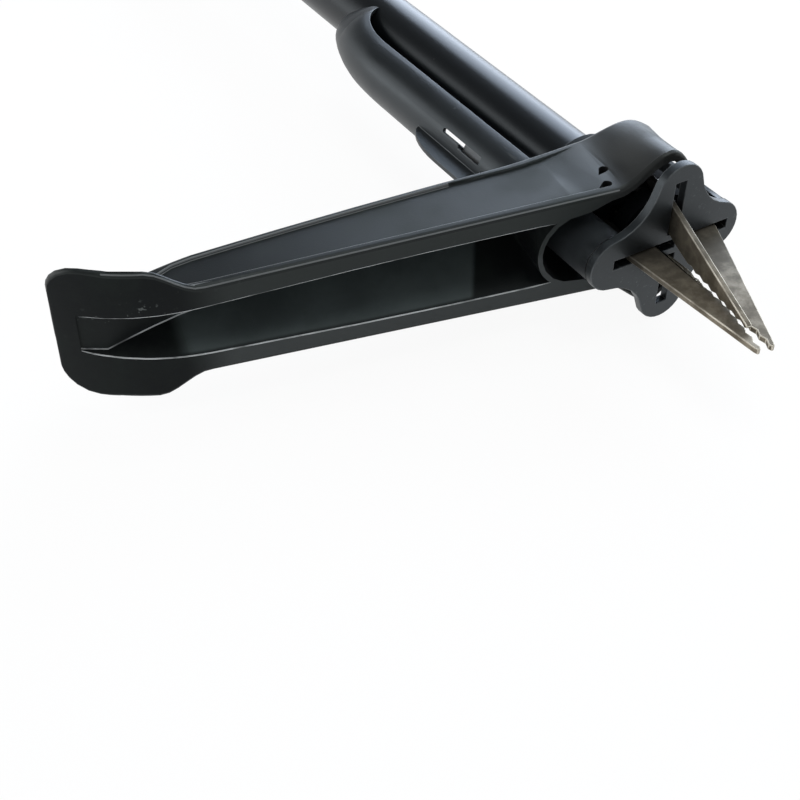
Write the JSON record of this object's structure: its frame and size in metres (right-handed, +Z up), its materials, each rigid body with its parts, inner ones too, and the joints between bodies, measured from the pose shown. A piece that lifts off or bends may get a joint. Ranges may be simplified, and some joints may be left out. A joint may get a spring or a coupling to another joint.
{
  "type": "stand-up weed puller",
  "caption": "Stand-up weed puller: a long tube shaft with a loop handle, a foot pedal hinged at its head, and serrated steel claws that open and close with the pedal.",
  "frame": {"origin": "middle of the footprint, at the lowest point, with the tool lying on its side", "axes": "+Y up the shaft towards the handle, -X the way the pedal reaches, +Z up and along the pedal's hinge"},
  "size_m": [0.229, 1.0376, 0.0562],
  "materials": {
    "black_plastic": "satin moulded",
    "slider_plastic": "satin moulded",
    "black_paint": "semi-gloss powder coat",
    "claw_steel": "mottled, worn",
    "zinc_steel": "plated",
    "grip_rubber": "matt"
  },
  "bodies": {
    "shaft": {"claw_plate": "black_plastic", "head_core": "black_plastic", "head_collar": "black_plastic", "shaft_cover": "black_plastic", "slider_rail": "black_plastic", "handle_half_upper": "black_plastic", "handle_half_lower": "black_plastic", "shaft_tube": "black_paint", "handle_grip": "grip_rubber", "claw_far_pin": "zinc_steel", "claw_lower_pin": "zinc_steel", "claw_pedal_pin": "zinc_steel", "claw_upper_pin": "zinc_steel", "pedal_pivot_pin": "zinc_steel", "collar_screw_pedal": "zinc_steel", "collar_screw_far": "zinc_steel", "return_spring": "zinc_steel", "handle_screw_1": "zinc_steel", "handle_screw_2": "zinc_steel", "handle_screw_3": "zinc_steel", "handle_screw_4": "zinc_steel"},
    "pedal": {"pedal_yoke": "black_plastic"},
    "slider": {"return_slider": "slider_plastic"},
    "claw_far_body": {"claw_far": "claw_steel"},
    "claw_lower_body": {"claw_lower": "claw_steel"},
    "claw_pedal_body": {"claw_pedal": "claw_steel"},
    "claw_upper_body": {"claw_upper": "claw_steel"}
  },
  "joints": [
    {"name": "pedal_hinge", "type": "hinge", "parent": "shaft", "child": "pedal", "pos_m": [0.05981, -0.43364, 0.0281], "axis": [0, 0, -1], "range_deg": [0, 12]},
    {"name": "claw_pedal_hinge", "type": "hinge", "parent": "shaft", "child": "claw_pedal_body", "pos_m": [0.05509, -0.44747, 0.0281], "axis": [0, 0, -1], "range_deg": [0, 12]},
    {"name": "claw_far_hinge", "type": "hinge", "parent": "shaft", "child": "claw_far_body", "pos_m": [0.07572, -0.4514, 0.0281], "axis": [0, 0, 1], "range_deg": [0, 12]},
    {"name": "claw_upper_hinge", "type": "hinge", "parent": "shaft", "child": "claw_upper_body", "pos_m": [0.06452, -0.44926, 0.0386], "axis": [-0.9823, 0.1874, 0], "range_deg": [0, 12]},
    {"name": "claw_lower_hinge", "type": "hinge", "parent": "shaft", "child": "claw_lower_body", "pos_m": [0.06452, -0.44926, 0.0176], "axis": [0.9823, -0.1874, 0], "range_deg": [0, 12]},
    {"name": "slider_slide", "type": "slide", "parent": "shaft", "child": "slider", "axis": [0, 1, 0], "range_m": [0, 0.0082], "stiffness_N_per_m": 400, "springref_m": -0.02, "deforming": ["return_spring"]}
  ],
  "couplings": [
    {"joint": "claw_pedal_hinge", "follows": "pedal_hinge", "ratio": 1},
    {"joint": "claw_far_hinge", "follows": "pedal_hinge", "ratio": 1},
    {"joint": "claw_upper_hinge", "follows": "pedal_hinge", "ratio": 1},
    {"joint": "claw_lower_hinge", "follows": "pedal_hinge", "ratio": 1},
    {"joint": "slider_slide", "follows": "pedal_hinge", "m_per_rad": 0.039152}
  ]
}
